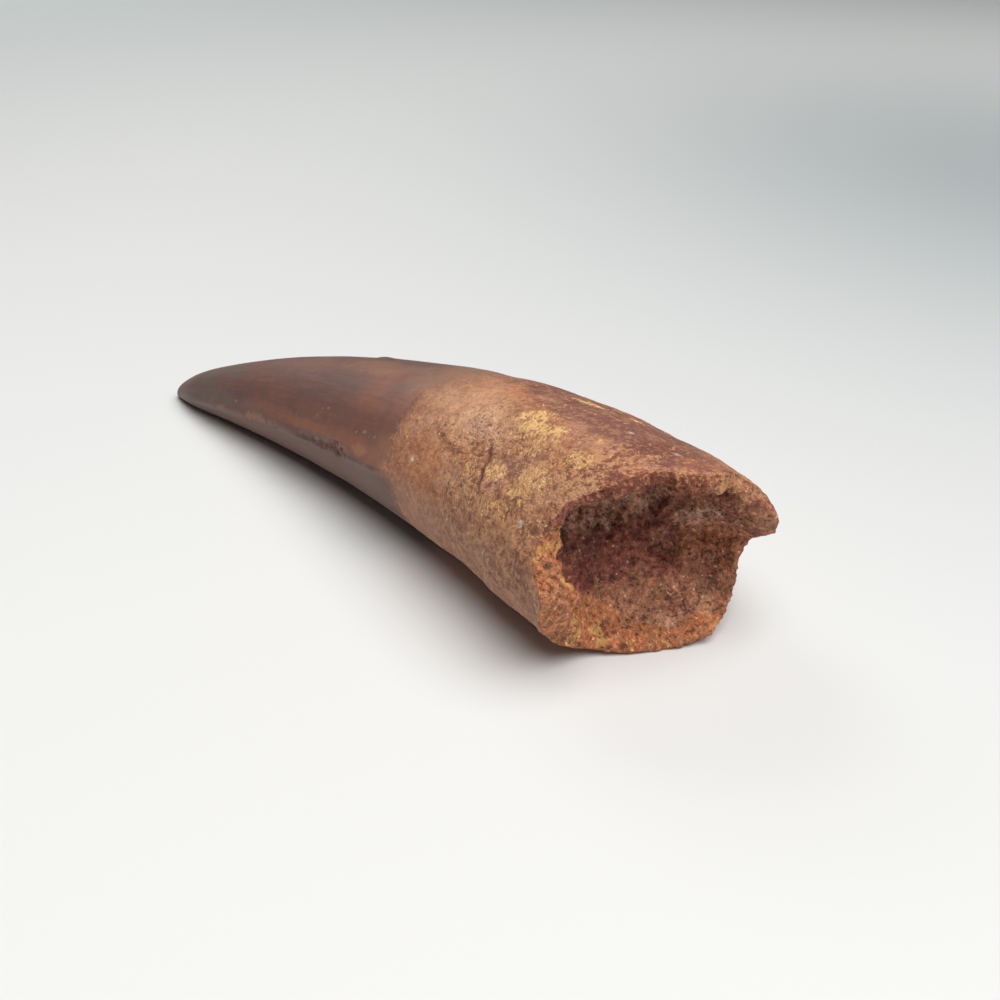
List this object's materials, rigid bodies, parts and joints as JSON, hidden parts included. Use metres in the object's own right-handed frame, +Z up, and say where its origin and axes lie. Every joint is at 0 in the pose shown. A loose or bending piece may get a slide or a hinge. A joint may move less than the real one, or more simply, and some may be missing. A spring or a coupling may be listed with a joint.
{
  "type": "fossil spinosaurus tooth",
  "caption": "Curved conical fossil tooth lying on its side, with keeled crown, rough root and an open pulp hollow inside a broken rim.",
  "frame": {"origin": "on the surface that the tooth lies on, under the middle of its box", "axes": "+X towards the broken root end, -X towards the tip, the tip curls towards -Y, +Z up"},
  "size_m": [0.152, 0.0486, 0.0325],
  "materials": {
    "tooth": "satin red-brown enamel on the crown, rough tan and ochre dentine on the root"
  },
  "bodies": {
    "root": {"tooth": "tooth"}
  },
  "joints": []
}
